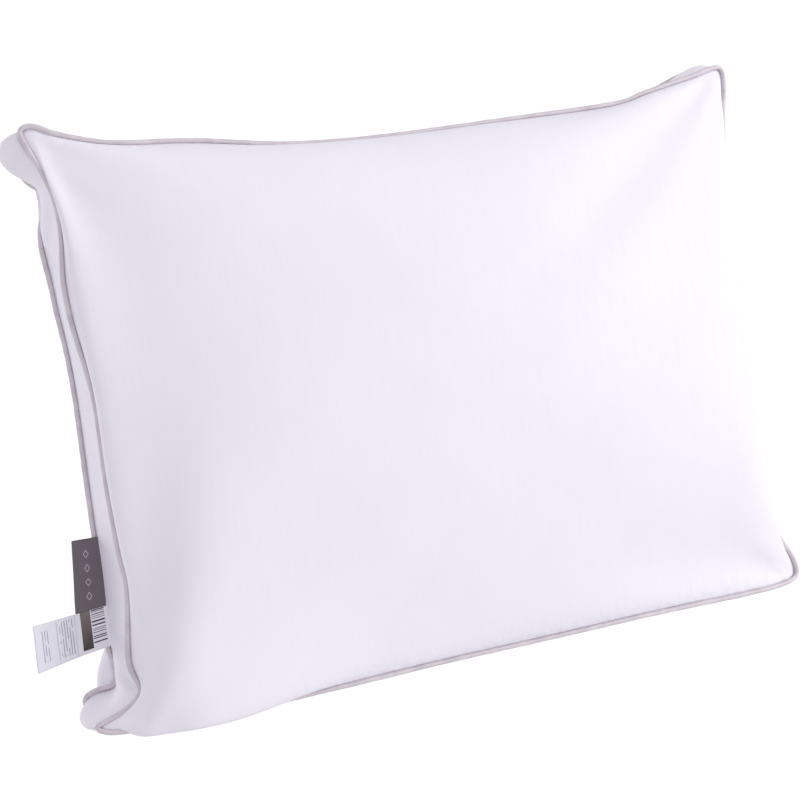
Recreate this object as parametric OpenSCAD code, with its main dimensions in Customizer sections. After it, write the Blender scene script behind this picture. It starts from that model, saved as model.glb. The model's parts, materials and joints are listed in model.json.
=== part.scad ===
// Box-edged bed pillow: two crowned panels and a gusset band, joined by piped seams round a fibre filling.
// It stands on one long edge: X runs along the pillow, Y through its thickness, Z up.
// The origin is the centre of the flat bottom of the gusset band. The front panel faces -Y.

/* [Casing] */
// Length from ear to ear, along X
pillow_length = 700; // [600:5:800]
// Height from the resting edge to the top ears, along Z
pillow_height = 500; // [400:5:600]
// Width of the gusset band between its two seams, along Y
gusset_width = 40; // [30:1:70]
// How far each panel rises above its seam in the middle
crown = 75; // [40:1:95]
// How far the short sides are drawn in between the ears
side_pull = 30; // [15:1:36]
// How far the top edge is drawn in between the ears
top_pull = 35; // [15:1:40]
// Thickness of the casing fabric, with its quilting layer
fabric = 0.6; // [0.5:0.1:0.9]
// Seam allowance turned to the inside
allowance = 8; // [6:1:9]
// Radius of the ears
ear_radius = 12; // [11:0.5:16]

/* [Piping] */
// Outer diameter of the piping
piping_d = 4.4; // [4:0.1:5]
// Diameter of the cotton cord inside the piping
cord_d = 3; // [2:0.1:3.2]
// Thickness of the satin strip that covers the cord
satin = 0.4; // [0.3:0.05:0.5]

/* [Labels] */
// Length of the folded brand tag, away from the seam
tag_length = 29; // [20:1:50]
// Height of the brand tag along the seam
tag_height = 60; // [40:1:80]
// Height of the brand tag's lower edge above the rest plane
tag_z = 92; // [92:1:150]
// Length of the care label, away from the seam
care_length = 65; // [40:1:90]
// Height of the care label and of the product label along the seam
care_height = 35; // [20:1:36]
// Height of the care label's lower edge above the rest plane
care_z = 54; // [53:1:56]
// Length of the short product label that lies on the care label
product_length = 26; // [15:1:38]
// Thickness of one layer of label cloth
label_cloth = 0.4; // [0.3:0.05:0.5]

/* [Threads] */
// Diameter of the sewing thread
thread_d = 0.6; // [0.4:0.1:0.8]
// Distance from one stitch to the next
stitch_pitch = 4; // [3.5:0.5:6]
// Length of one stitch
stitch = 2.6; // [2:0.1:3]
// Length of the opening that was sewn up after filling
closing_length = 220; // [120:10:300]

/* [Hidden] */

// The seam stack, from the middle of the gusset outwards along Y
clearance = 0.3;
band_y = gusset_width / 2;
tape_y = band_y + clearance;
tape = 2 * satin + 0.2;
panel_y = tape_y + tape + clearance;
piping_y = tape_y + piping_d / 2;

// Everything round the edge is offset from the seam outline: outwards is positive
piping_out = piping_d / 2 + 0.4;
band_out = piping_out + piping_d / 2 + 0.1;
thread_out = -allowance / 2;
filling_out = -allowance - 1.5;

// Half sizes of the seam outline, and the height of its centre
seam_x = pillow_length / 2 - band_out;
seam_z = pillow_height / 2 - band_out;
mid_z = pillow_height / 2;

// How far the outline's normal turns past square on either side of an ear
top_ear_side_lean = 22;
top_ear_top_lean = 18;
low_ear_side_lean = 60;
arc_steps = 6;
bend_steps = 4;
run_steps = 7;
ring_steps = 8;
crown_flatness = 2.2;
crown_steepness = 0.45;

// The labels hang on vertical lines just outside the rear piping of the left end
hinge_x = -(pillow_length / 2 - side_pull) - 3.5;
hinge_y = tape_y + tape / 2;
tag_gap = 0.4;

function unit(v) = v / norm(v);
function heading(a) = [cos(a), sin(a)];
function bend_at(a, b, c, t) = (1 - t) * (1 - t) * a + 2 * t * (1 - t) * b + t * t * c;

// Where the drawn-in side leaves a straight line and swings out to an ear of the upper right quarter.
// side_lean and top_lean are how far the ear's arc carries on past square at its two ends.
function ear(half_x, half_z, pull_x, pull_z, side_lean, top_lean) =
    let (
        centre = [half_x - ear_radius, half_z - ear_radius],
        low = centre + ear_radius * heading(-side_lean),
        high = centre + ear_radius * heading(90 + top_lean),
        low_reach = (low[0] - (half_x - pull_x)) / sin(side_lean),
        low_knee = low - low_reach * heading(90 - side_lean),
        arc = [for (i = [0:arc_steps])
                   centre + ear_radius * heading(-side_lean + (90 + side_lean + top_lean) * i / arc_steps)],
        low_bend = [for (i = [0:bend_steps - 1])
                        bend_at(low_knee - [0, low_reach], low_knee, low, i / bend_steps)],
        high_reach = top_lean > 0 ? (high[1] - (half_z - pull_z)) / sin(top_lean) : 0,
        high_knee = high + high_reach * heading(180 + top_lean),
        high_bend = top_lean > 0
            ? [for (i = [1:bend_steps]) bend_at(high, high_knee, high_knee - [high_reach, 0], i / bend_steps)]
            : []
    )
    concat(low_bend, arc, high_bend);

function flipped(points, sx, sz) =
    let (moved = [for (p = points) [p[0] * sx, p[1] * sz]])
    sx * sz > 0 ? moved : [for (i = [len(moved) - 1:-1:0]) moved[i]];
// The points strictly between two ends of a straight run
function run(a, b) = [for (i = [1:run_steps - 1]) a + (b - a) * i / run_steps];
function first(points) = points[0];
function last(points) = points[len(points) - 1];

// The seam outline as a closed loop of [x, z] points, counter-clockwise, seen from the front
top_ear = ear(seam_x, seam_z, side_pull, top_pull, top_ear_side_lean, top_ear_top_lean);
low_ear = ear(seam_x, seam_z, side_pull, 0, low_ear_side_lean, 0);
ears = [flipped(low_ear, 1, -1), top_ear, flipped(top_ear, -1, 1), flipped(low_ear, -1, -1)];
outline = [for (k = [0:3]) each concat(ears[k], run(last(ears[k]), first(ears[(k + 1) % 4])))];
on_ear = [for (k = [0:3]) each concat([for (p = ears[k]) true], [for (i = [1:run_steps - 1]) false])];
count = len(outline);

// The outline moved outwards by out along its own normals
function outward(i) =
    let (along = outline[(i + 1) % count] - outline[(i + count - 1) % count])
    unit([along[1], -along[0]]);
normals = [for (i = [0:count - 1]) outward(i)];
function loop(out) = [for (i = [0:count - 1]) outline[i] + out * normals[i] + [0, mid_z]];
function in_plane(points, y) = [for (p = points) [p[0], y, p[1]]];
// The same loop without the points inside its straight runs, so that each run is one flat face
function sparse_loop(out) = let (whole = loop(out)) [for (i = [0:count - 1]) if (on_ear[i]) whole[i]];

// One ring of a crowned surface: share 1 is the edge, and rings turn from the outline to an oval inwards
function ring(edge, share) =
    let (oval = [seam_x - side_pull, seam_z - top_pull / 2])
    [for (p = edge)
        let (
            spoke = p - [0, mid_z],
            to_oval = 1 / norm([spoke[0] / oval[0], spoke[1] / oval[1]]),
            reach = share * (share * share + (1 - share * share) * to_oval)
        )
        [0, mid_z] + reach * spoke];
function rise(share) = pow(1 - pow(share, crown_flatness), crown_steepness);
// All rings of a crowned surface from the edge to just short of the middle, then the middle point
function dome(edge, y, height, side) = concat(
    [for (k = [0:ring_steps - 1])
        let (share = cos(90 * k / ring_steps))
        each in_plane(ring(edge, share), side * (y + height * rise(share)))],
    [[0, side * (y + height), mid_z]]
);
dome_count = count * ring_steps + 1;

// Quads between loop a and loop b of a point list, and the fan that closes a dome
function band_faces(a, b) = [for (i = [0:count - 1])
    let (j = (i + 1) % count)
    each [[a + i, a + j, b + i], [a + j, b + j, b + i]]];
function dome_faces(start) = concat(
    [for (k = [0:ring_steps - 2]) each band_faces(start + k * count, start + (k + 1) * count)],
    [for (i = [0:count - 1])
        let (edge = start + (ring_steps - 1) * count)
        [edge + i, edge + (i + 1) % count, start + dome_count - 1]]
);
function reversed(faces) = [for (f = faces) [f[0], f[2], f[1]]];
function turned(faces, side) = side > 0 ? faces : reversed(faces);

// A crowned panel of even thickness with its seam allowance turned in. side is -1 in front and 1 behind.
module panel(side) {
    outer = dome(loop(0), panel_y, crown, side);
    inner = dome(loop(-fabric), panel_y + fabric, crown - 2 * fabric, side);
    seam_face = in_plane(loop(-allowance), side * panel_y);
    fill_face = in_plane(loop(-allowance), side * (panel_y + fabric));
    inner_start = dome_count;
    seam_start = 2 * dome_count;
    fill_start = seam_start + count;
    polyhedron(
        concat(outer, inner, seam_face, fill_face),
        turned(concat(
            dome_faces(0),
            reversed(dome_faces(inner_start)),
            band_faces(seam_start, 0),
            band_faces(fill_start, seam_start),
            band_faces(inner_start, fill_start)
        ), side),
        convexity = 6
    );
}

// A section of [out, y] points swept once round the outline
module edge_sweep(section) {
    sides = len(section);
    points = [for (s = section) each in_plane(loop(s[0]), s[1])];
    faces = [for (s = [0:sides - 1]) each band_faces(s * count, ((s + 1) % sides) * count)];
    polyhedron(points, faces, convexity = 8);
}
function round_section(d, out, y, sides) =
    [for (i = [0:sides - 1]) [out, y] + d / 2 * heading(-360 * i / sides)];

// A satin strip folded round the cord. Both of its raw edges run back into the seam, next to the band.
module piping_cover(side) {
    outer_r = piping_d / 2;
    bore_r = outer_r - satin;
    outer_lip = 180 + asin((outer_r - tape) / outer_r);
    bore_lip = 180 + asin((outer_r - tape + satin) / bore_r);
    around = [for (i = [0:8]) outer_lip - (outer_lip + 90) * i / 8];
    within = [for (i = [0:6]) -90 + (bore_lip + 90) * i / 6];
    section = concat(
        [[-allowance - piping_out, tape - outer_r]],
        [for (a = around) outer_r * heading(a)],
        [[-allowance - piping_out, -outer_r], [-allowance - piping_out, -bore_r]],
        [for (a = within) bore_r * heading(a)],
        [[-allowance - piping_out, tape - outer_r - satin]]
    );
    placed = [for (p = section) [piping_out + p[0], side * (piping_y + p[1])]];
    edge_sweep(side > 0 ? placed : [for (i = [len(placed) - 1:-1:0]) placed[i]]);
}

module piping_cord(side) edge_sweep(round_section(cord_d, piping_out, side * piping_y, 6));

// The needle thread on the panel's allowance and the bobbin thread on the band's
module seam_thread(side) {
    needle_y = panel_y + fabric + thread_d / 2 + 0.05;
    bobbin_y = band_y - fabric - thread_d / 2 - 0.05;
    edge_sweep(round_section(thread_d, thread_out, side * needle_y, 4));
    edge_sweep(round_section(thread_d, thread_out, side * bobbin_y, 4));
}

// A straight row of stitches, centred on the origin, along X
module stitch_row(length) {
    stitches = floor(length / stitch_pitch);
    for (i = [0:stitches - 1])
        translate([(i - (stitches - 1) / 2) * stitch_pitch, 0, 0])
            rotate([0, 90, 0]) cylinder(d = thread_d, h = stitch, center = true, $fn = 16);
}

// A strip of label cloth of one layer, standing along Z and reaching from the hinge line towards -X
module label_strip(length, height, z, y) {
    translate([hinge_x - length, hinge_y + y - label_cloth / 2, z]) cube([length, label_cloth, height]);
}

module front_panel() color([0.96, 0.96, 0.98]) panel(-1);

module rear_panel() color([0.93, 0.93, 0.96]) panel(1);

// A channel that stands proud of both pipings and carries its own seam allowances inside
module gusset_band() color([0.90, 0.90, 0.94])
    rotate([90, 0, 0]) difference() {
        linear_extrude(2 * band_y, center = true) polygon(sparse_loop(band_out));
        linear_extrude(2 * (band_y - fabric), center = true) polygon(sparse_loop(band_out - fabric));
        linear_extrude(4 * band_y, center = true) polygon(sparse_loop(-allowance));
    }

module front_piping_cover() color([0.76, 0.73, 0.74]) piping_cover(-1);

module rear_piping_cover() color([0.76, 0.73, 0.74]) piping_cover(1);

module front_piping_cord() color([0.92, 0.90, 0.84]) piping_cord(-1);

module rear_piping_cord() color([0.92, 0.90, 0.84]) piping_cord(1);

module front_seam_thread() color([0.85, 0.85, 0.87]) seam_thread(-1);

module rear_seam_thread() color([0.85, 0.85, 0.87]) seam_thread(1);

// The row of stitches, inside the bottom, that closes the band into a ring
module gusset_join_thread() color([0.85, 0.85, 0.87])
    translate([pillow_length / 5, 0, fabric + thread_d / 2 + 0.05])
        rotate([0, 0, 90]) stitch_row(gusset_width - 8);

// The row of stitches in the rear bottom seam where the casing was sewn up after filling
module closing_thread() color([0.85, 0.85, 0.87])
    translate([0, panel_y + fabric + thread_d / 2 + 0.05, band_out + allowance - 2])
        stitch_row(closing_length);

// Loose fibre, packed to the casing's own shape
module fibre_filling() color([0.99, 0.99, 0.99]) {
    fill_y = panel_y + fabric;
    fill_crown = crown - 4 * fabric;
    polyhedron(
        concat(dome(loop(filling_out), fill_y, fill_crown, 1), dome(loop(filling_out), fill_y, fill_crown, -1)),
        concat(dome_faces(0), reversed(dome_faces(dome_count)), band_faces(dome_count, 0)),
        convexity = 4
    );
}

// A satin tag folded double, with both ends in the seam
module brand_tag() color([0.42, 0.38, 0.42]) {
    inside_r = tag_gap / 2;
    outside_r = inside_r + label_cloth;
    straight = tag_length - outside_r;
    translate([hinge_x, hinge_y, tag_z]) linear_extrude(tag_height) difference() {
        union() {
            translate([-straight, -outside_r]) square([straight, 2 * outside_r]);
            translate([-straight, 0]) circle(r = outside_r, $fn = 32);
        }
        translate([-straight, -inside_r]) square([straight + 1, 2 * inside_r]);
        translate([-straight, 0]) circle(r = inside_r, $fn = 32);
    }
}

// The long care label
module care_label() color([0.93, 0.93, 0.95]) label_strip(care_length, care_height, care_z, 0);

// The short label that lies on the front of the care label
module product_label() color([0.90, 0.90, 0.92])
    label_strip(product_length, care_height, care_z, -label_cloth - 0.2);

front_panel();
rear_panel();
gusset_band();
front_piping_cover();
rear_piping_cover();
front_piping_cord();
rear_piping_cord();
front_seam_thread();
rear_seam_thread();
gusset_join_thread();
closing_thread();
fibre_filling();
brand_tag();
care_label();
product_label();
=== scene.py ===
"""The looks of a bed pillow: a box-edged casing of cotton sateen with satin piping in both seams.

Lengths are in metres. X runs along the pillow, Y through its thickness with the front at -Y, Z is up.
The three pieces of the casing are inflated together as one cloth that is sewn to the two seam lines.
The piping, cords, stitches and labels are then made along those seams, and the filling inside the cloth.
"""

import json

import bpy
import numpy as np
from mathutils import Matrix, Vector, noise
from mathutils.bvhtree import BVHTree


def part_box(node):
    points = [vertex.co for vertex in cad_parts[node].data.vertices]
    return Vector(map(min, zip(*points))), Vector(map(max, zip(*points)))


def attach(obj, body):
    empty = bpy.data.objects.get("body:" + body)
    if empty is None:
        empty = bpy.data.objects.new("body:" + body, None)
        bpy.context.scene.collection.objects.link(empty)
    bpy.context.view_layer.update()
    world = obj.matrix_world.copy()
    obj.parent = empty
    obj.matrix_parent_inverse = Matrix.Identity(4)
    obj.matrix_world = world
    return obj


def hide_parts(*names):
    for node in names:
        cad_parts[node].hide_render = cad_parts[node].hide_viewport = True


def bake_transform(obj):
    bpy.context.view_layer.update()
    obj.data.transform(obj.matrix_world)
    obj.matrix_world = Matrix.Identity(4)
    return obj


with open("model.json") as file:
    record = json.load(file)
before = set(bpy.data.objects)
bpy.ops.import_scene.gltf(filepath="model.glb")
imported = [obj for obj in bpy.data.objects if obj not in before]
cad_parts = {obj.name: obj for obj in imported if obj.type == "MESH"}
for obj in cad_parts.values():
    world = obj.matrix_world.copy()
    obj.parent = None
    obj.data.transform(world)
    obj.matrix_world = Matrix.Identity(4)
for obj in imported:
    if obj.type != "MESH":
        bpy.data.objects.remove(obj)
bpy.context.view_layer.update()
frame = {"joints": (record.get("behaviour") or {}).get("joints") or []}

MM = 0.001

# ---------------------------------------------------------------- the casing as it was cut
CUT_LENGTH = 0.706
CUT_HEIGHT = 0.510
CUT_BAND = 0.046
CUT_CORNER = 0.018
# How much wider or higher each half of a panel is in its middle than at its corners, as a share
FULLER_LEFT = -0.02
FULLER_RIGHT = 0.019
FULLER_TOP = 0.0
FULLER_FOOT = 0.015
# How much wider the band is at the corners, as a share
SLACK_EAR = 0.80
# The side of one square of the cloth's grid
CELL = 0.008
FABRIC = 0.0006
ALLOWANCE = 0.008
# The height of what the pillow rests on, below the CAD's rest plane because the front panel's foot hangs
FLOOR = -0.019

# ---------------------------------------------------------------- the piping
PIPING_RADIUS = 0.0022
CORD_RADIUS = 0.0015
SATIN = 0.0004
PIPING_OUT = 0.0019
PIPING_TAPE = 0.006
# How many points a curve gets between two that are given
CURVE_STEPS = 24
SEAM_STEPS = 3
CORD_SIDES = 10

# ---------------------------------------------------------------- the labels
# How far a label reaches inside the seam from its hinge, and how far the tag reaches outside
LABEL_SEWN = 0.0105
TAG_FREE = 0.0205
# How far below its CAD solid a label's foot starts
LABEL_DROP = 0.0025

# ---------------------------------------------------------------- where the two seams run
# Millimetres: x, y, z. Each side begins at its corner and ends before the next corner.
FRONT_SEAM = {
    "bottom": [(-355, -17, -4), (-338, -23, -8), (-300, -31, -9), (-220, -35, -9), (-134, -37, -7),
               (-31, -37, -4), (81, -36, -2.5), (167, -35, -1), (233, -33, -1), (300, -28, -2),
               (337, -22, -1)],
    "right": [(357, -16, 3), (354, -18, 20), (339, -21, 44), (312, -22, 110), (311, -22, 180),
              (318, -22, 260), (330, -22, 340), (336, -22, 410), (343, -21, 455), (350, -18, 482)],
    "top": [(352, -14, 498), (337, -17, 497), (309, -20, 490), (258, -22, 479), (225, -22, 472),
            (101, -22, 467), (-20, -22, 463), (-109, -22, 465), (-198, -22, 476), (-272, -22, 481),
            (-318, -21, 493), (-336, -18, 502)],
    "left": [(-346, -14, 500), (-341, -18, 484), (-332, -22, 463), (-325, -23, 438), (-324, -23, 410),
             (-328, -23, 372), (-326, -23, 335), (-319, -23, 294), (-315.5, -23, 260), (-316, -23, 200),
             (-314, -23, 141), (-311, -23, 112), (-314, -23, 85), (-319, -23, 45), (-312, -24, 20),
             (-331, -21, 4)],
}
REAR_SEAM = {
    "bottom": [(-348, 21, 17), (-343, 24, 5), (-322, 26, -4), (-280, 28, -6), (-150, 28, -6),
               (0, 28, -6), (150, 26, -5), (300, 24, -5), (338, 20, -4)],
    "right": [(355, 16, 4), (352, 18, 22), (338, 21, 46), (315, 22, 110), (315, 22, 180),
              (321, 22, 260), (331, 22, 340), (336, 22, 410), (342, 20, 450), (348, 16, 478)],
    "top": [(354, 12, 496), (338, 15, 500), (310, 18, 491), (280, 22, 479), (225, 22, 470),
            (101, 22, 465), (-20, 22, 462), (-109, 22, 464), (-198, 22, 472), (-272, 22, 476),
            (-318, 20, 482), (-334, 17, 481)],
    "left": [(-341, 20, 474), (-337, 22, 465), (-330, 24, 459), (-319, 25, 452), (-316, 25, 443),
             (-321, 24, 432), (-327, 23, 421), (-329, 22, 401), (-326, 22, 375), (-324, 22, 349),
             (-320, 22, 310), (-318.5, 22, 270), (-319, 22.5, 200), (-319, 23.5, 120), (-321, 23.5, 60),
             (-317, 22, 34), (-319, 23, 22), (-335, 22, 21)],
}
SIDES = ("bottom", "right", "top", "left")
# Where the band bulges near each corner: (sides of length and of height before the corner), how much
# further along the ring the bulge's middle is, how far it reaches, and the push at its middle.
EARS = [
    ((0, 0), 0.000, 0.032, np.array([-0.013, 0, -0.004])),
    ((1, 0), 0.000, 0.032, np.array([0.006, 0, -0.003])),
    ((1, 1), 0.024, 0.034, np.array([0.000, 0, 0.007])),
    ((2, 1), 0.011, 0.035, np.array([-0.022, 0, 0.003])),
]
# Where the rear panel rolls out past its left seam: height of its middle, reach, how far out, how far up.
REAR_ROLLS = [(0.450, 0.050, 0.011, 0.0), (0.040, 0.026, 0.014, 0.010)]
# How far a panel's middle starts outside its seams, and how far the filling can push it from the centre
CROWN = 0.060
REACH = 0.095
REACH_DROP = 0.010
# The frames of the simulation in which the edges are drawn to the seams
PULL_FRAMES = 20
NOISE_SEED = 1794896224  # noise_vector takes its seed from the clock unless it is given one


def through(points, steps=CURVE_STEPS):
    """A closed, smooth curve through the points: steps short pieces from each point to the next."""
    points = np.asarray(points, float)
    before, after, beyond = (np.roll(points, shift, axis=0) for shift in (1, -1, -2))
    curve = []
    for a, b, c, d in zip(before, points, after, beyond):
        for t in np.arange(steps) / steps:
            curve.append(0.5 * (2 * b + (c - a) * t + (2 * a - 5 * b + 4 * c - d) * t**2
                                + (3 * b - a - 3 * c + d) * t**3))
    return np.array(curve)


def spaced(line, shares):
    """The points that lie at these shares of an open line's length."""
    walked = np.concatenate([[0], np.cumsum(np.linalg.norm(np.diff(line, axis=0), axis=1))])
    return np.stack([np.interp(shares * walked[-1], walked, line[:, axis]) for axis in range(3)], axis=1)


def seam_line(seam, side_shares):
    """Where each point of the cut edge is sewn, side after side."""
    curve = through([p for side in SIDES for p in seam[side]]) * MM
    starts = np.cumsum([0] + [len(seam[side]) * CURVE_STEPS for side in SIDES])
    closed = np.vstack([curve, curve[:1]])
    sewn = []
    for k, side in enumerate(SIDES):
        line = closed[starts[k]:starts[k + 1] + 1]
        sewn.append(spaced(line, side_shares[k])[:-1])
    return np.vstack(sewn)


def grid_quads(index, flipped=False):
    """Quads between the points of a grid of point numbers. Flipped, they face the other way."""
    a, b, c, d = index[:-1, :-1], index[1:, :-1], index[1:, 1:], index[:-1, 1:]
    return np.stack((a, d, c, b) if flipped else (a, b, c, d), axis=-1).reshape(-1, 4)


# ---------------------------------------------------------------- the cloth
class Casing:
    """One closed mesh: a grid for each panel and rings of quads for the band between them."""

    def __init__(self):
        self.nx, self.nz, self.ny = (round(size / CELL) for size in (CUT_LENGTH, CUT_HEIGHT, CUT_BAND))
        nx, nz, ny = self.nx, self.nz, self.ny
        panel = np.arange((nx + 1) * (nz + 1)).reshape(nx + 1, nz + 1)
        self.front, self.rear = panel, panel + panel.size
        i = np.concatenate([np.arange(nx), np.full(nz, nx), np.arange(nx, 0, -1), np.zeros(nz, int)])
        k = np.concatenate([np.zeros(nx, int), np.arange(nz), np.full(nx, nz), np.arange(nz, 0, -1)])
        self.edge = (i, k)
        rings = np.arange((ny - 1) * len(i)).reshape(ny - 1, len(i)) + 2 * panel.size
        self.band = np.vstack([self.front[i, k], rings, self.rear[i, k]])
        self.count = 2 * panel.size + rings.size

    def flat(self):
        """The cut pieces, unstrained: two flat panels with rounded corners, a band's width apart."""
        x = np.linspace(-CUT_LENGTH / 2, CUT_LENGTH / 2, self.nx + 1)[:, None] + np.zeros(self.nz + 1)
        z = np.linspace(-CUT_HEIGHT / 2, CUT_HEIGHT / 2, self.nz + 1) + np.zeros((self.nx + 1, 1))
        beyond_x = np.clip((np.abs(x) - CUT_LENGTH / 2 + CUT_CORNER) / CUT_CORNER, 0, 1)
        beyond_z = np.clip((np.abs(z) - CUT_HEIGHT / 2 + CUT_CORNER) / CUT_CORNER, 0, 1)
        x_round = x - np.sign(x) * CUT_CORNER * beyond_x * (1 - np.sqrt(1 - beyond_z**2 / 2))
        z_round = z - np.sign(z) * CUT_CORNER * beyond_z * (1 - np.sqrt(1 - beyond_x**2 / 2))
        fuller = np.where(x_round > 0, FULLER_RIGHT, FULLER_LEFT)
        wide = x_round * (1 + fuller * (1 - (2 * z_round / CUT_HEIGHT) ** 2))
        fuller = np.where(z_round > 0, FULLER_TOP, FULLER_FOOT)
        high = z_round * (1 + fuller * (1 - (2 * x_round / CUT_LENGTH) ** 2))
        ear = np.exp(-((CUT_LENGTH / 2 - np.abs(x)) ** 2 + (CUT_HEIGHT / 2 - np.abs(z)) ** 2) / 0.05**2)
        half_band = CUT_BAND / 2 * (1 + SLACK_EAR * ear)
        co = np.zeros((self.count, 3))
        for grid, way in ((self.front, -1), (self.rear, 1)):
            co[grid] = np.stack([wide, way * half_band, high + CUT_HEIGHT / 2], axis=2)
        return self.fill_band(co)

    def fill_band(self, co, bulge=0.0):
        """Spreads the band's inner rings evenly from the front edge to the rear edge."""
        across = np.arange(1, self.ny) / self.ny
        a, b = co[self.band[0]], co[self.band[-1]]
        middle = np.array([0, 0, CUT_HEIGHT / 2])
        for ring, t in zip(self.band[1:-1], across):
            co[ring] = a * (1 - t) + b * t
            away = (co[ring] - middle) * (1, 0, 1)
            away /= np.linalg.norm(away, axis=1)[:, None]
            co[ring] += away * bulge * np.sin(np.pi * t)
        return co

    def sewn(self):
        """The same mesh with its edges on the seams and the panels spread and crowned between them."""
        nx, nz = self.nx, self.nz
        shares = [np.linspace(0, 1, n + 1) for n in (nx, nz, nx, nz)]
        co = np.zeros((self.count, 3))
        u = (np.arange(nx + 1) / nx)[:, None, None]
        v = (np.arange(nz + 1) / nz)[None, :, None]
        for grid, seam, way in ((self.front, FRONT_SEAM, -1), (self.rear, REAR_SEAM, 1)):
            co[grid[self.edge]] = seam_line(seam, shares)
            p = co[grid]
            low, high, left, right = p[:, :1], p[:, -1:], p[:1], p[-1:]
            inner = (low * (1 - v) + high * v + left * (1 - u) + right * u
                     - (p[:1, :1] * (1 - u) + p[-1:, :1] * u) * (1 - v)
                     - (p[:1, -1:] * (1 - u) + p[-1:, -1:] * u) * v)
            crown = (np.sin(np.pi * u) * np.sin(np.pi * v)) ** 0.6
            co[grid] = inner + crown * (0, way * CROWN, 0)
        return self.fill_band(co, bulge=0.004)

    def faces(self):
        """Quads that all face outwards."""
        band = self.band
        after = np.roll(band, -1, axis=1)
        return {
            "front_panel": grid_quads(self.front),
            "rear_panel": grid_quads(self.rear, flipped=True),
            "gusset_band": np.stack([band[:-1], band[1:], after[1:], after[:-1]], axis=-1).reshape(-1, 4),
        }


def uneven(co, amount=0.0012, scale=9.0):
    """Small smooth differences of place, so that the fabric doesn't buckle evenly."""
    return co + amount * np.array([noise.noise_vector(Vector(p) * scale) for p in co])


def make_mesh(name, co, faces):
    """A new mesh object in the scene."""
    mesh = bpy.data.meshes.new(name)
    mesh.from_pydata([tuple(p) for p in co], [], [tuple(f) for f in faces])
    mesh.update()
    obj = bpy.data.objects.new(name, mesh)
    bpy.context.scene.collection.objects.link(obj)
    return obj


def points_of(mesh):
    """The places of a mesh's points, one row each."""
    co = np.zeros(len(mesh.vertices) * 3, np.float32)
    mesh.vertices.foreach_get("co", co)
    return co.reshape(-1, 3).astype(float)


def mould(way):
    """A shallow dome over a panel, as far out as the filling can push the cloth."""
    x = np.linspace(-0.40, 0.40, 41)[:, None] + np.zeros(31)
    z = np.linspace(-0.05, 0.55, 31) + np.zeros((41, 1))
    y = way * (REACH - REACH_DROP * ((x / 0.35) ** 2 + ((z - CUT_HEIGHT / 2) / 0.25) ** 2))
    faces = grid_quads(np.arange(x.size).reshape(x.shape), flipped=True)
    obj = make_mesh("mould", np.stack([x, y, z], axis=-1).reshape(-1, 3), faces[:, ::-way])
    obj.modifiers.new("collision", "COLLISION")
    obj.collision.thickness_outer = 0.001
    obj.collision.cloth_friction = 0
    return obj


def inflate(casing, frames=40):
    """The casing's points once the filling has blown up the cloth between its sewn edges."""
    ends = casing.sewn()
    pinned = np.unique(casing.band[[0, -1]])
    obj = make_mesh("casing_cloth", uneven(casing.flat()), np.vstack(list(casing.faces().values())))
    obj.shape_key_add(name="cut")
    sewn = obj.shape_key_add(name="sewn")
    sewn.data.foreach_set("co", ends.ravel())
    for number, value in ((1, 0), (PULL_FRAMES, 1)):
        sewn.value = value
        sewn.keyframe_insert("value", frame=number)
    obj.vertex_groups.new(name="seams").add(pinned.tolist(), 1.0, "REPLACE")
    cloth = obj.modifiers.new("cloth", "CLOTH")
    settings = cloth.settings
    settings.vertex_group_mass = "seams"
    settings.quality = 6
    settings.mass = 0.2
    settings.tension_stiffness = settings.compression_stiffness = 40
    settings.shear_stiffness = 8
    settings.bending_stiffness = 6
    settings.tension_damping = settings.compression_damping = settings.shear_damping = 10
    settings.bending_damping = 2
    settings.use_pressure = True
    settings.uniform_pressure_force = 25
    settings.effector_weights.gravity = 0
    cloth.collision_settings.distance_min = 0.001
    cloth.collision_settings.use_self_collision = False
    moulds = [mould(-1), mould(1)]
    scene = bpy.context.scene
    for number in range(1, frames + 1):
        scene.frame_set(number)
    evaluated = obj.evaluated_get(bpy.context.evaluated_depsgraph_get())
    co = points_of(evaluated.data)
    for made in (obj, *moulds):
        bpy.data.objects.remove(made)
    scene.frame_set(1)
    return co


# ---------------------------------------------------------------- after the simulation
def soften(casing, co, rounds=8, calm_rounds=24, rim_cells=6, fold_reach=0.09):
    """Evens out the small buckles of the panels, as the filling behind them does, and leaves the seams.
    The folds that radiate from the top corners are evened out less than the rest."""
    co = co.copy()
    flat = casing.flat()
    for grid in (casing.front, casing.rear):
        p = co[grid]
        i, k = np.indices(grid.shape)
        to_edge = np.minimum(np.minimum(i, grid.shape[0] - 1 - i), np.minimum(k, grid.shape[1] - 1 - k))
        give = (0.5 * np.clip(to_edge / rim_cells, 0, 1))[1:-1, 1:-1, None]
        x, z = flat[grid][1:-1, 1:-1, 0], flat[grid][1:-1, 1:-1, 2]
        corner = np.hypot(CUT_LENGTH / 2 - np.abs(x), CUT_HEIGHT - z)
        calm = give * (1 - np.exp(-((corner / fold_reach) ** 2)))[..., None]
        for number in range(calm_rounds):
            mean = (p[:-2, 1:-1] + p[2:, 1:-1] + p[1:-1, :-2] + p[1:-1, 2:]) / 4
            p[1:-1, 1:-1] += (give if number < rounds else calm) * (mean - p[1:-1, 1:-1])
        co[grid] = p
    return co


def eased(value, low, high):
    """0 at low and 1 at high, with a smooth start and end."""
    share = np.clip((value - low) / (high - low), 0, 1)
    return share * share * (3 - 2 * share)


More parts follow.
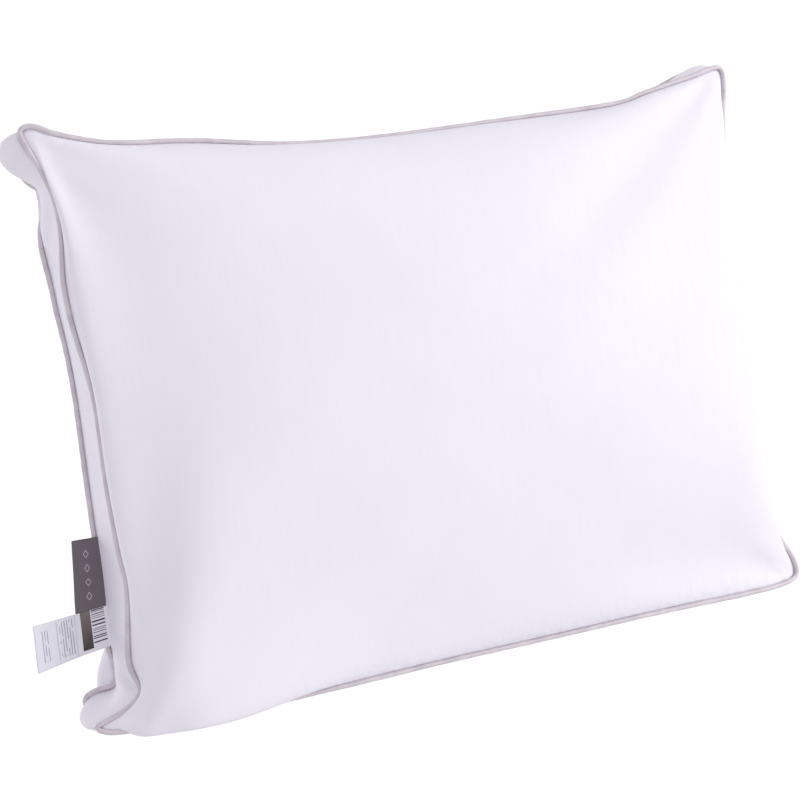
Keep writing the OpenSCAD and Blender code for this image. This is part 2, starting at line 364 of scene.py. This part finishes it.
def fill_ears(casing, co, fullness=0.6):
    """The filling holds the band out at each corner: straight from seam to seam, with a bulge on top."""
    co = co.copy()
    count = len(casing.edge[0])
    t = (np.arange(casing.ny + 1) / casing.ny)[:, None, None]
    straight = co[casing.band[0]] * (1 - t) + co[casing.band[-1]] * t
    for corner, beyond, reach, push in EARS:
        middle = (corner[0] * casing.nx + corner[1] * casing.nz + beyond / CELL) % count
        away = np.abs(np.arange(count) - middle)
        away = np.minimum(away, count - away) * CELL / reach
        share = np.exp(-(away**2))[None, :, None]
        full = straight + push * share * np.sin(np.pi * t) ** fullness
        co[casing.band] += (full - co[casing.band]) * np.clip(1.5 * share, 0, 1)
    return co


def roll_rear_panel(casing, co, width=0.020):
    """The rear panel bulges out past its left seam, where the photographed pillow shows it."""
    co = co.copy()
    inwards = np.arange(casing.rear.shape[0])[:, None] * CELL / width
    up = np.arange(casing.rear.shape[1])[None, :] * CELL
    profile = inwards * np.exp(1 - inwards)
    for height, reach, out, lift in REAR_ROLLS:
        share = profile * np.exp(-(((up - height) / reach) ** 2))
        co[casing.rear] += share[..., None] * (-out, 0, lift)
    return co


def slump(casing, co, drop=0.030, forward=0.014, roll=0.030):
    """The weight presses the foot of both panels into a roll near the left end, which hides the seams.
    The roll fades out towards the left seam and towards the middle of the pillow."""
    co = co.copy()
    for grid, way in ((casing.front, -1), (casing.rear, 1)):
        x = co[grid][..., 0]
        up = np.arange(grid.shape[1]) * CELL / roll
        profile = (up * np.exp(1 - up))[None, :]
        inwards = eased(np.arange(grid.shape[0]) * CELL, 0, 0.032)[:, None]
        sag = eased(x, -0.365, -0.315) * eased(x, -0.095, -0.275) * profile * inwards
        push = eased(x, -0.335, -0.270) * sag
        co[grid] += np.stack([0 * sag, way * forward * push, -drop * sag], axis=-1)
    return co


def gather(casing, co, folds=5, depth=0.0010, reach=0.050):
    """Small folds fan out from each corner of the panels, where the cloth is drawn together."""
    co = co.copy()
    out = normals(casing, co)
    along = np.arange(casing.nx + 1)[:, None] * CELL
    up = np.arange(casing.nz + 1)[None, :] * CELL
    for grid in (casing.front, casing.rear):
        for from_end in (along, along[::-1]):
            for from_side in (up, up[:, ::-1]):
                far = np.hypot(from_end, from_side) / reach
                fan = np.sin(2 * folds * np.arctan2(from_side, from_end))
                lift = depth * fan * (far * np.exp(1 - far)) ** 3
                co[grid] += out[grid] * lift[..., None]
    return co


def normals(casing, co):
    """The outward direction at each point of the casing."""
    total = np.zeros_like(co)
    for faces in casing.faces().values():
        a, b, c, d = (co[faces[:, n]] for n in range(4))
        across = np.cross(c - a, d - b)
        for n in range(4):
            np.add.at(total, faces[:, n], across)
    return total / np.maximum(np.linalg.norm(total, axis=1), 1e-12)[:, None]


def settle(co, depth=0.004):
    """Nothing reaches below the floor, and what would is pressed flat against it."""
    co = co.copy()
    above = co[:, 2] - FLOOR
    low = above < depth
    co[low, 2] = FLOOR + depth * np.exp((above[low] - depth) / depth)
    return co


# ---------------------------------------------------------------- making pieces
def smooth(obj):
    """The object, shaded smooth."""
    for polygon in obj.data.polygons:
        polygon.use_smooth = True
    return obj


def baked(obj, *modifiers):
    """The object with its modifiers applied: each is (kind, {setting: value})."""
    for number, (kind, values) in enumerate(modifiers):
        modifier = obj.modifiers.new(f"{kind}_{number}", kind)
        for name, value in values.items():
            setattr(modifier, name, value)
    graph = bpy.context.evaluated_depsgraph_get()
    mesh = bpy.data.meshes.new_from_object(obj.evaluated_get(graph))
    obj.modifiers.clear()
    old, obj.data = obj.data, mesh
    bpy.data.meshes.remove(old)
    return smooth(obj)


def add_uv(obj, corner_uv):
    """Adds the UV map that the materials read: one (along, up) in metres for each corner of a face."""
    obj.data.uv_layers.new(name="cut").data.foreach_set("uv", np.asarray(corner_uv).reshape(-1))


def casing_piece(name, co, faces, cut, around):
    """One sewn piece of fabric. Its UV map holds its cut coordinates, so the weave follows the cloth.
    around is the length of a ring: the faces that close a ring are mapped past its end."""
    used, corners = np.unique(faces, return_inverse=True)
    corners = corners.reshape(faces.shape)
    obj = make_mesh(name, co[used], corners)
    uv = cut[used][corners]
    closing = np.ptp(uv[..., 0], axis=1) > around / 2
    uv[..., 0] += around * (closing[:, None] & (uv[..., 0] < around / 2))
    add_uv(obj, uv)
    return baked(obj, ("SUBSURF", {"levels": 1, "render_levels": 1}),
                 ("SOLIDIFY", {"thickness": FABRIC, "offset": -1}))


def ring_quads(rows, columns):
    """Quads of a closed tube whose points are numbered row by row."""
    index = np.arange(rows * columns).reshape(rows, columns)
    after = np.roll(index, -1, axis=0)
    quads = [index, after, np.roll(after, -1, axis=1), np.roll(index, -1, axis=1)]
    return np.stack(quads, axis=-1).reshape(-1, 4)


def evened(loop, rounds):
    """A closed row of vectors, each drawn towards its neighbours."""
    for _ in range(rounds):
        loop = 0.25 * np.roll(loop, 1, axis=0) + 0.5 * loop + 0.25 * np.roll(loop, -1, axis=0)
    return loop


def seam_frame(casing, co, row):
    """A closed seam's line, with the direction outwards and the direction across it at each point."""
    ring = casing.band[row]
    line = evened(through(co[ring], SEAM_STEPS), 3)
    out = evened(through(normals(casing, co)[ring], SEAM_STEPS), 12)
    along = np.roll(line, -1, axis=0) - np.roll(line, 1, axis=0)
    along /= np.linalg.norm(along, axis=1)[:, None]
    out -= along * (out * along).sum(axis=1)[:, None]
    out /= np.linalg.norm(out, axis=1)[:, None]
    return line, out, np.cross(along, out)


def sweep(name, seam, section, ripple=0.00025, ripple_scale=110):
    """A closed loop along a seam. Each point of its section is (outwards, across) from the seam's line."""
    line, out, across = seam
    wave = np.array([noise.noise_vector(Vector(p) * ripple_scale) for p in line]) * ripple
    section = np.asarray(section)
    away = out[:, None] * section[None, :, :1] + across[:, None] * section[None, :, 1:]
    co = (line + wave)[:, None] + away
    obj = make_mesh(name, co.reshape(-1, 3), ring_quads(len(line), len(section)))
    lengths = np.arange(len(line)) * np.linalg.norm(line[1] - line[0])
    around = np.arange(len(section)) * 0.001
    uv = np.stack(np.broadcast_arrays(lengths[:, None], around[None, :]), axis=-1).reshape(-1, 2)
    add_uv(obj, uv[ring_quads(len(line), len(section))])
    return smooth(obj)


def arc(radius, start, end, count, centre=PIPING_OUT):
    """Points of a circle about the piping's cord, as (outwards, across)."""
    angles = np.radians(np.linspace(start, end, count))
    return np.stack([centre + radius * np.cos(angles), radius * np.sin(angles)], axis=1)


def piping_section():
    """A strip folded round the cord, with its two edges side by side in the seam."""
    outer = arc(PIPING_RADIUS, 160, -160, 17)
    inner = arc(PIPING_RADIUS - SATIN, -170, 170, 15)
    deep = -PIPING_TAPE
    return np.vstack([[(deep, outer[0, 1])], outer, [(deep, outer[-1, 1]), (deep, inner[0, 1])], inner,
                      [(deep, inner[-1, 1])]])


def stitches(name, starts, ways, length=0.0026, radius=0.0003, sides=6):
    """A row of short stitches, each a small closed prism from its start along its way."""
    angles = np.arange(sides) * 2 * np.pi / sides
    co, faces = [], []
    for start, way in zip(starts, ways):
        way = Vector(way).normalized()
        a = way.orthogonal().normalized()
        b = way.cross(a)
        first = len(co)
        for share, size in ((0, 0.4), (0.12, 1), (0.88, 1), (1, 0.4)):
            middle = Vector(start) + way * length * share
            co += [middle + (a * np.cos(t) + b * np.sin(t)) * radius * size for t in angles]
        for ring in range(3):
            for n in range(sides):
                m = (n + 1) % sides
                low, high = first + ring * sides, first + (ring + 1) * sides
                faces.append((low + n, low + m, high + m, high + n))
        faces.append(tuple(first + n for n in reversed(range(sides))))
        faces.append(tuple(first + 3 * sides + n for n in range(sides)))
    return smooth(make_mesh(name, co, faces))


def seam_stitches(name, seam, pitch=0.004):
    """The hidden stitches that hold a seam, halfway into its allowance."""
    line, out, _ = seam
    inside = line - out * ALLOWANCE / 2
    step = max(1, round(pitch / np.linalg.norm(line[1] - line[0])))
    return stitches(name, inside[::step], (np.roll(inside, -1, axis=0) - inside)[::step])


def label(name, path, foot, head, thickness, slant=0.0, rows=24):
    """A strip of cloth that stands on edge along a path of (x, y). foot and head give the heights of its
    two edges, in metres, from the distance along the path. Its free end leans by slant.
    Its UV map is (distance along the path, height above the foot) in metres."""
    path = np.asarray(path, float)
    walked = np.concatenate([[0], np.cumsum(np.linalg.norm(np.diff(path, axis=0), axis=1))])
    across = np.linspace(0, 1, rows)
    low, high = foot(walked)[:, None], head(walked)[:, None]
    co = np.zeros((len(path), rows, 3))
    co[..., :2] = path[:, None]
    co[..., 2] = low + (high - low) * across
    outwards = np.clip((path[:1, 0] - path[:, 0]) / (path[:, 0].max() - path[:, 0].min()), 0, 1)
    co[..., 0] += slant * outwards[:, None] * (across - 0.5) * (high - low)
    ripple = np.array([[noise.noise(Vector((x, z, 0)) * 45) for x, _, z in row] for row in co])
    co[..., 1] += 0.0008 * ripple * np.clip(outwards / 0.3, 0, 1)[:, None]
    faces = grid_quads(np.arange(len(path) * rows).reshape(len(path), rows))
    obj = make_mesh(name, co.reshape(-1, 3), faces)
    tall = (high - low).mean() * across
    uv = np.stack(np.broadcast_arrays(walked[:, None], tall[None, :]), axis=-1).reshape(-1, 2)
    add_uv(obj, uv[faces])
    return baked(obj, ("SOLIDIFY", {"thickness": thickness, "offset": 0}))


# ---------------------------------------------------------------- materials
class Finish:
    """A material that is built one node at a time."""

    def __init__(self, name, roughness, **values):
        self.material = bpy.data.materials.new(name)
        self.material.use_nodes = True
        self.nodes = self.material.node_tree.nodes
        self.links = self.material.node_tree.links
        self.shader = self.nodes["Principled BSDF"]
        self.set("Roughness", roughness)
        for socket, value in values.items():
            self.set(socket.replace("_", " "), value)

    def set(self, socket, value):
        """Gives a socket of the shader a plain value, or joins it to another node's output."""
        self.join(self.shader.inputs[socket], value)

    def join(self, socket, value):
        if isinstance(value, bpy.types.NodeSocket):
            self.links.new(value, socket)
        else:
            socket.default_value = value

    def node(self, kind, inputs=(), output=0, **settings):
        """Adds a node, fills its inputs from {name or number: value}, and gives back one output."""
        made = self.nodes.new(kind)
        for name, value in settings.items():
            setattr(made, name, value)
        for name, value in dict(inputs).items():
            self.join(made.inputs[name], value)
        return made.outputs[output]

    def math(self, operation, a, b=0.0):
        return self.node("ShaderNodeMath", {0: a, 1: b}, operation=operation)

    def place(self):
        """Where a point is on the cut piece: (along, up) in metres."""
        return self.node("ShaderNodeUVMap", uv_map="cut")

    def noise(self, vector, scale, detail=2.0, roughness=0.5):
        return self.node("ShaderNodeTexNoise", {"Vector": vector, "Scale": scale, "Detail": detail,
                                                "Roughness": roughness})

    def threads(self, vector, direction, pitch):
        """Parallel threads, one every pitch."""
        inputs = {"Vector": vector, "Scale": np.pi / (10 * pitch), "Distortion": 0.4, "Detail": 1.0,
                  "Detail Scale": 2.0}
        return self.node("ShaderNodeTexWave", inputs, output=1, bands_direction=direction)

    def stretched(self, vector, scales):
        """A vector with each of its axes scaled on its own."""
        return self.node("ShaderNodeMapping", {"Vector": vector, "Scale": scales})

    def mix(self, share, a, b):
        """A colour between two colours."""
        made = self.nodes.new("ShaderNodeMix")
        made.data_type = "RGBA"
        self.join(made.inputs["Factor"], share)
        for socket, value in (("A", a), ("B", b)):
            target = next(i for i in made.inputs if i.name == socket and i.type == "RGBA")
            self.join(target, value)
        return next(o for o in made.outputs if o.type == "RGBA")

    def spread(self, value, low, high, to_low=0.0, to_high=1.0):
        """Stretches the values from low to high, and clips what lies beyond them."""
        return self.node("ShaderNodeMapRange", {"Value": value, "From Min": low, "From Max": high,
                                                "To Min": to_low, "To Max": to_high})

    def bump(self, height, distance, strength=1.0, under=None):
        inputs = {"Height": height, "Distance": distance, "Strength": strength}
        if under is not None:
            inputs["Normal"] = under
        return self.node("ShaderNodeBump", inputs)


def rgb(red, green, blue):
    """A colour socket's value from display values of 0 to 255."""
    shares = [value / 255 for value in (red, green, blue)]
    return [s / 12.92 if s <= 0.04045 else ((s + 0.055) / 1.055) ** 2.4 for s in shares] + [1.0]


def sateen(name, from_seam, pucker):
    """White cotton sateen: fine threads both ways, faint slubs, and puckers of a given depth beside seams.
    from_seam(finish, along, up) gives the distance from the nearest seam."""
    f = Finish(name, 0.52, Sheen_Weight=0.12, Sheen_Roughness=0.35, Specular_IOR_Level=0.35)
    place = f.place()
    warp = f.threads(place, "X", 0.00042)
    weft = f.threads(place, "Y", 0.00060)
    slub = f.noise(f.stretched(place, (420, 22, 1)), 1.0, 3.0)
    tone = f.noise(place, 9.0, 3.0)
    base = f.mix(f.spread(tone, 0.35, 0.65), rgb(241, 238, 246), rgb(243, 240, 249))
    thin = f.spread(slub, 0.42, 0.62, 0.0, 0.08)
    f.set("Base Color", f.mix(thin, base, rgb(226, 222, 234)))
    f.set("Roughness", f.spread(slub, 0.3, 0.7, 0.46, 0.58))
    weave = f.math("ADD", f.math("MULTIPLY", warp, 0.6), f.math("MULTIPLY", weft, 0.4))
    near = f.spread(from_seam(f, *along_and_up(f)), 0.0, 0.030, 1.0, 0.0)
    gather = f.math("MULTIPLY", f.noise(place, 85.0, 1.0), f.math("POWER", near, 2.0))
    soft = f.bump(f.noise(place, 40.0, 2.0), 0.0009, 0.3)
    f.set("Normal", f.bump(weave, 0.00006, 0.5, under=f.bump(gather, pucker, 0.9, under=soft)))
    return f.material


def from_panel_edge(finish, along, up):
    """The distance from the nearest edge of a cut panel."""
    from_middle = finish.math("SUBTRACT", up, CUT_HEIGHT / 2)
    side = finish.math("SUBTRACT", CUT_LENGTH / 2, finish.math("ABSOLUTE", along))
    end = finish.math("SUBTRACT", CUT_HEIGHT / 2, finish.math("ABSOLUTE", from_middle))
    return finish.math("MINIMUM", side, end)


def from_band_edge(finish, along, up):
    """The distance from the nearest edge of the cut band."""
    return finish.math("SUBTRACT", CUT_BAND / 2, finish.math("ABSOLUTE", up))


def satin():
    """Silver-grey satin cut on the bias, so that its threads run round the cord at a slant."""
    f = Finish("silver_satin", 0.36, Anisotropic=0.4, Sheen_Weight=0.1, Sheen_Roughness=0.3)
    place = f.place()
    slant = f.node("ShaderNodeMapping", {"Vector": place, "Rotation": (0, 0, np.radians(38))})
    thread = f.threads(slant, "X", 0.00045)
    pull = f.noise(f.stretched(place, (150, 40, 1)), 1.0, 3.0)
    tint = f.mix(f.spread(pull, 0.3, 0.7), rgb(206, 196, 204), rgb(224, 216, 222))
    f.set("Base Color", f.mix(f.math("MULTIPLY", thread, 0.18), tint, rgb(176, 163, 172)))
    f.set("Roughness", f.spread(pull, 0.3, 0.7, 0.30, 0.46))
    f.set("Normal", f.bump(thread, 0.00005, 0.6, under=f.bump(pull, 0.0006, 0.6)))
    return f.material


def cotton(name, light, dark, pitch, twist_degrees):
    """Twisted cotton yarn, for the cords and the threads."""
    f = Finish(name, 0.85, Sheen_Weight=0.15)
    place = f.node("ShaderNodeTexCoord", output=3)
    twist = (0, 0, np.radians(twist_degrees))
    turned = f.node("ShaderNodeMapping", {"Vector": place, "Rotation": twist})
    ply = f.threads(turned, "DIAGONAL", pitch)
    fuzz = f.noise(place, 900.0, 2.0)
    f.set("Base Color", f.mix(ply, dark, light))
    f.set("Normal", f.bump(f.math("ADD", ply, fuzz), 0.0001, 0.6))
    return f.material


def fibre():
    """Loose polyester fibre: white, with fine hairs in every direction."""
    f = Finish("polyester_fibre", 0.8, Sheen_Weight=0.3)
    place = f.node("ShaderNodeTexCoord", output=3)
    hairs = f.noise(f.stretched(place, (60, 400, 90)), 1.0, 4.0, 0.7)
    clumps = f.noise(place, 25.0, 3.0)
    f.set("Base Color", f.mix(clumps, rgb(233, 233, 236), rgb(246, 246, 248)))
    f.set("Normal", f.bump(hairs, 0.001, 0.7, under=f.bump(clumps, 0.004, 0.6)))
    return f.material


def inside(finish, value, low, high, edge=0.0002):
    """1 between low and high, 0 outside, with a soft printed edge."""
    rises = finish.spread(value, low - edge / 2, low + edge / 2)
    falls = finish.spread(value, high - edge / 2, high + edge / 2, 1.0, 0.0)
    return finish.math("MULTIPLY", rises, falls)


def along_and_up(finish):
    """The two coordinates of a point on the cut piece, each as its own output."""
    split = finish.nodes.new("ShaderNodeSeparateXYZ")
    finish.join(split.inputs[0], finish.place())
    return split.outputs[0], split.outputs[1]


def every(finish, value, pitch):
    """The distance from the middle of the nearest of the bands that repeat at a pitch."""
    within = finish.math("FLOORED_MODULO", value, pitch)
    return finish.math("ABSOLUTE", finish.math("SUBTRACT", within, pitch / 2))


def tag_cloth():
    """Mauve-grey woven satin with a column of small light lozenges, a plain motif."""
    f = Finish("tag_satin", 0.42, Sheen_Weight=0.2, Sheen_Roughness=0.4)
    along, up = along_and_up(f)
    weave = f.threads(f.place(), "Y", 0.00035)
    cloth = f.mix(f.noise(f.place(), 60.0), rgb(104, 93, 103), rgb(118, 107, 117))
    cloth = f.mix(f.math("MULTIPLY", weave, 0.15), cloth, rgb(70, 61, 70))
    middle = LABEL_SEWN + TAG_FREE * 0.42
    side = f.math("DIVIDE", f.math("ABSOLUTE", f.math("SUBTRACT", along, middle)), 0.0026)
    level = f.math("DIVIDE", every(f, f.math("ADD", up, 0.0045), 0.012), 0.0036)
    lozenge = inside(f, f.math("ADD", side, level), 0.76, 1.0, 0.12)
    shown = inside(f, up, 0.0075, 0.0555)
    f.set("Base Color", f.mix(f.math("MULTIPLY", lozenge, shown), cloth, rgb(205, 199, 206)))
    f.set("Normal", f.bump(f.math("ADD", weave, f.math("MULTIPLY", lozenge, 2.0)), 0.00008, 0.6))
    return f.material


def label_cloth():
    """White satin ribbon with rows of plain grey rules where a care label has its words."""
    f = Finish("label_ribbon", 0.45, Sheen_Weight=0.15)
    along, up = along_and_up(f)
    weave = f.threads(f.place(), "X", 0.0003)
    row = inside(f, every(f, along, 0.0024), -0.001, 0.00034)
    breaks = f.noise(f.stretched(f.place(), (417, 130, 1)), 1.0, 1.0)
    words = f.math("MULTIPLY", row, f.spread(breaks, 0.38, 0.42))
    near = f.math("MULTIPLY", inside(f, along, 0.0384, 0.0518), inside(f, up, 0.004, 0.034))
    far = f.math("MULTIPLY", inside(f, along, 0.0615, 0.0700), inside(f, up, 0.006, 0.031))
    words = f.math("MULTIPLY", words, f.math("ADD", near, far))
    rule = f.math("MULTIPLY", inside(f, along, 0.0541, 0.0545), inside(f, up, 0.003, 0.035))
    marks = f.math("MINIMUM", f.math("ADD", words, rule), 1.0)
    f.set("Base Color", f.mix(f.math("MULTIPLY", marks, 0.75), rgb(240, 239, 248), rgb(100, 96, 118)))
    f.set("Normal", f.bump(weave, 0.00004, 0.6))
    return f.material


def label_print():
    """White coated label with a column of plain bars and a dark block that fades."""
    f = Finish("label_print", 0.38)
    along, up = along_and_up(f)
    stripes = {"W": f.math("MULTIPLY", up, 620.0), "Scale": 1.0, "Detail": 1.0}
    bars = f.spread(f.node("ShaderNodeTexNoise", stripes, noise_dimensions="1D"), 0.50, 0.56)
    column = f.math("MULTIPLY", inside(f, along, 0.0095, 0.0215), inside(f, up, 0.004, 0.036))
    bars = f.math("MULTIPLY", bars, column)
    block = f.math("MULTIPLY", inside(f, along, 0.0222, 0.0316), inside(f, up, 0.003, 0.036))
    shade = f.mix(f.spread(up, 0.004, 0.032), rgb(52, 44, 42), rgb(128, 116, 110))
    grain = f.mix(f.math("MULTIPLY", f.noise(f.place(), 700.0), 0.4), shade, rgb(90, 80, 74))
    paper = f.mix(bars, rgb(238, 236, 244), rgb(66, 60, 74))
    f.set("Base Color", f.mix(block, paper, grain))
    f.set("Normal", f.bump(f.noise(f.place(), 500.0), 0.00003, 0.5))
    return f.material


# ---------------------------------------------------------------- the pieces
def finished(obj, body, material, slot, *replaced):
    """Gives a piece its material, its body in the frame, and the CAD nodes it stands for. Its slot is not
    used.
    """
    obj.data.materials.clear()
    obj.data.materials.append(material)
    if body:
        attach(obj, body)
    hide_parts(*replaced)
    return obj


def make_casing(casing, co):
    """The two panels and the band, each as a sheet of its own."""
    flat = casing.flat()
    panel_cloth = sateen("panel_sateen", from_panel_edge, pucker=0.0024)
    band_cloth = sateen("band_sateen", from_band_edge, pucker=0.0003)
    around = len(casing.edge[0]) * CELL
    for name, faces in casing.faces().items():
        cut = np.stack([flat[:, 0], flat[:, 2]], axis=1)
        if name == "gusset_band":
            along = np.broadcast_to(np.arange(casing.band.shape[1]) * CELL, casing.band.shape)
            cut[casing.band] = np.stack([along, flat[casing.band][..., 1]], axis=-1)
        piece = casing_piece("sateen_" + name, co, faces, cut, around)
        finished(piece, "casing", band_cloth if name == "gusset_band" else panel_cloth, "sateen", name)


def make_seams(casing, co):
    """Each seam's piping, the cord inside it and its stitches. Gives back the stitches' material."""
    silver = satin()
    cord = cotton("cotton_cord", rgb(236, 232, 222), rgb(205, 199, 186), 0.0016, 35)
    yarn = cotton("white_thread", rgb(244, 243, 245), rgb(214, 212, 218), 0.0004, 30)
    for side, row in (("front", 0), ("rear", -1)):
        seam = seam_frame(casing, co, row)
        cover = sweep(side + "_satin_piping", seam, piping_section())
        finished(cover, "casing", silver, "piping_satin", side + "_piping_cover")
        core = sweep(side + "_cord_core", seam, arc(CORD_RADIUS, 0, 360 - 360 / CORD_SIDES, CORD_SIDES))
        finished(core, "casing", cord, "cotton_cord", side + "_piping_cord")
        sewing = seam_stitches(side + "_seam_stitches", seam)
        finished(sewing, "casing", yarn, "thread", side + "_seam_thread")
    return yarn


def make_joins(casing, co, yarn, join_depth=0.002, closing_depth=0.7 * ALLOWANCE, near_foot=0.02):
    """The stitches that close the band into a ring, and those of the opening the filling went in by."""
    out = normals(casing, co)
    low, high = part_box("gusset_join_thread")
    bottom = co[casing.band[0, :casing.nx], 0]
    column = np.argmin(np.abs(bottom - (low.x + high.x) / 2))
    across = (co - out * join_depth)[casing.band[:, column]]
    starts = spaced(across, np.linspace(0.06, 0.9, 11))
    join = stitches("band_join_stitches", starts[:-1], np.diff(starts, axis=0))
    finished(join, "casing", yarn, "thread", "gusset_join_thread")
    low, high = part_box("closing_thread")
    ring = co[casing.band[-1]] - out[casing.band[-1]] * closing_depth
    opening = ring[(ring[:, 2] < high.z + near_foot) & (ring[:, 0] > low.x) & (ring[:, 0] < high.x)]
    line = spaced(opening[np.argsort(opening[:, 0])], np.linspace(0, 1, 56))
    closing = stitches("closing_stitches", line[:-1], np.diff(line, axis=0))
    finished(closing, "casing", yarn, "thread", "closing_thread")


def make_filling(casing, co, gap=0.006, least_gap=0.005, pushed_gap=0.007, ear_reach=0.08):
    """The fibre fills the casing right up to the cloth, except in the ears, which stay empty.
    Points that end up too near the cloth, or past it, are set back inside."""
    faces = np.vstack(list(casing.faces().values()))
    cloth = BVHTree.FromPolygons(co.tolist(), faces.tolist())
    from_end = np.clip(CUT_LENGTH / 2 - np.abs(co[:, 0]), 0, None)
    from_side = np.clip(CUT_HEIGHT / 2 - np.abs(co[:, 2] - CUT_HEIGHT / 2), 0, None)
    ear = np.exp(-((from_end**2 + from_side**2) / ear_reach**2) ** 2)[:, None]
    core = co * (0.80, 0.2, 0.74) + (0, 0, 0.13 * CUT_HEIGHT)
    inner = (co - normals(casing, co) * gap) * (1 - ear) + core * ear
    for _ in range(4):
        for number, point in enumerate(inner):
            place, out, _, _ = cloth.find_nearest(point)
            if (Vector(point) - place).dot(out) > -least_gap:
                inner[number] = place - out * pushed_gap
    batt = smooth(make_mesh("fibre_batt", inner, faces))
    finished(batt, "casing", fibre(), "filling", "fibre_filling")


def make_labels(half_fold=0.0005):
    """The tag, folded double, and the two labels below it, all in the rear seam of the left end."""
    tag_low, tag_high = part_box("brand_tag")
    care_low, care_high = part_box("care_label")
    product_low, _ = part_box("product_label")
    hinge = {joint["child"]: Vector(joint["pos_m"]) for joint in frame["joints"]}
    x, y = hinge["tag"].x, hinge["tag"].y
    sewn = x + LABEL_SEWN

    tip = x - TAG_FREE
    turn = np.radians(np.linspace(30, 150, 5))
    out = [(sewn + (tip - sewn) * t, y - half_fold) for t in np.linspace(0, 1, 14)]
    fold = [(tip - half_fold * np.sin(a), y - half_fold * np.cos(a)) for a in turn]
    back = [(out_x, y + half_fold) for out_x, _ in reversed(out)]
    tag = label("folded_tag", out + fold + back, lambda s: tag_low.z - LABEL_DROP + 0 * s,
                lambda s: tag_high.z + 0 * s, 0.0004, slant=0.092)
    finished(tag, None, tag_cloth(), "tag_satin", "brand_tag")

    def foot(s):
        """The height of the long label's lower edge, which droops towards its free end."""
        return care_low.z + 0.0045 - 0.0115 * (s / (sewn - care_low.x)) ** 1.1

    def head(s):
        """The height of its upper edge."""
        return care_high.z + 0.0045 - 0.0065 * (s / (sewn - care_low.x)) ** 0.8

    def ribbon(low_x, lift):
        """A path that leaves the seam straight and turns a little towards the front at its free end."""
        distances = np.linspace(0, sewn - low_x, 34)
        turned = np.clip(distances - 0.030, 0, None)
        return np.stack([sewn - distances, y + lift - 0.28 * turned**1.15], axis=1)

    for name, low_x, lift, cloth, slot, node in (
            ("care_ribbon", care_low.x, 0.0, label_cloth(), "label_cloth", "care_label"),
            ("printed_label", product_low.x, -0.0007, label_print(), "label_print", "product_label")):
        piece = label(name, ribbon(low_x, lift), foot, head, 0.0003, slant=0.03)
        finished(piece, None, cloth, slot, node)
        blended(piece)
    blended(tag)


def blended(piece):
    """Bakes the label's placement into its points."""
    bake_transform(piece)


# ---------------------------------------------------------------- the studio
def make_world(light=0.77):
    """White to the camera, and a little dimmer as light, so that the pillow's form shows."""
    world = bpy.data.worlds.new("studio")
    world.use_nodes = True
    nodes, links = world.node_tree.nodes, world.node_tree.links
    soft = nodes["Background"]
    soft.inputs["Color"].default_value = (0.97, 0.96, 1.0, 1)
    soft.inputs["Strength"].default_value = light
    white = nodes.new("ShaderNodeBackground")
    white.inputs["Color"].default_value = (1, 1, 1, 1)
    white.inputs["Strength"].default_value = 1.05
    ray = nodes.new("ShaderNodeLightPath")
    mix = nodes.new("ShaderNodeMixShader")
    links.new(ray.outputs["Is Camera Ray"], mix.inputs[0])
    links.new(soft.outputs[0], mix.inputs[1])
    links.new(white.outputs[0], mix.inputs[2])
    links.new(mix.outputs[0], nodes["World Output"].inputs["Surface"])
    bpy.context.scene.world = world


def make_lamp(name, place, target, size, power):
    """A round, soft, white lamp that shines at the target."""
    lamp = bpy.data.lights.new(name, "AREA")
    lamp.shape = "DISK"
    lamp.size = size
    lamp.energy = power
    obj = bpy.data.objects.new(name, lamp)
    bpy.context.scene.collection.objects.link(obj)
    obj.location = place
    obj.rotation_euler = (Vector(target) - Vector(place)).to_track_quat("-Z", "Y").to_euler()


def make_camera(azimuth, elevation, roll, distance, lens, shift, target):
    """A camera that looks at the target from an azimuth and elevation, rolled about its own axis."""
    azimuth, elevation, roll = (np.radians(angle) for angle in (azimuth, elevation, roll))
    level = np.cos(elevation)
    back = Vector((np.sin(azimuth) * level, -np.cos(azimuth) * level, np.sin(elevation)))
    right = Vector((0, 0, 1)).cross(back).normalized()
    up = back.cross(right)
    rolled_right = right * np.cos(roll) + up * np.sin(roll)
    rolled_up = up * np.cos(roll) - right * np.sin(roll)
    data = bpy.data.cameras.new("camera")
    data.lens = lens
    data.shift_x, data.shift_y = shift
    obj = bpy.data.objects.new("camera", data)
    bpy.context.scene.collection.objects.link(obj)
    matrix = Matrix((rolled_right, rolled_up, back)).transposed().to_4x4()
    matrix.translation = Vector(target) + back * distance
    obj.matrix_world = matrix
    bpy.context.scene.camera = obj


def main():
    """Shapes the cloth, makes every piece along it, and sets up the studio."""
    noise.seed_set(NOISE_SEED)
    casing = Casing()
    co = inflate(casing)
    for shaped in (soften, fill_ears, roll_rear_panel, slump, gather):
        co = shaped(casing, co)
    co = settle(co)
    make_casing(casing, co)
    yarn = make_seams(casing, co)
    make_joins(casing, co, yarn)
    make_filling(casing, co)
    make_labels()
    make_world()
    make_lamp("key_right", (3.6, -2.8, 0.9), (0.1, 0, 0.25), 2.7, 95)
    make_lamp("rim_left", (-2.4, 2.2, 1.4), (0, 0, 0.25), 1.5, 16)
    make_camera(azimuth=-25.45, elevation=0.99, roll=-8.06, distance=2.111, lens=104.6,
                shift=(-0.029, -0.034), target=(0, 0, 0.25))
    bpy.context.scene.view_settings.view_transform = "Standard"


main()
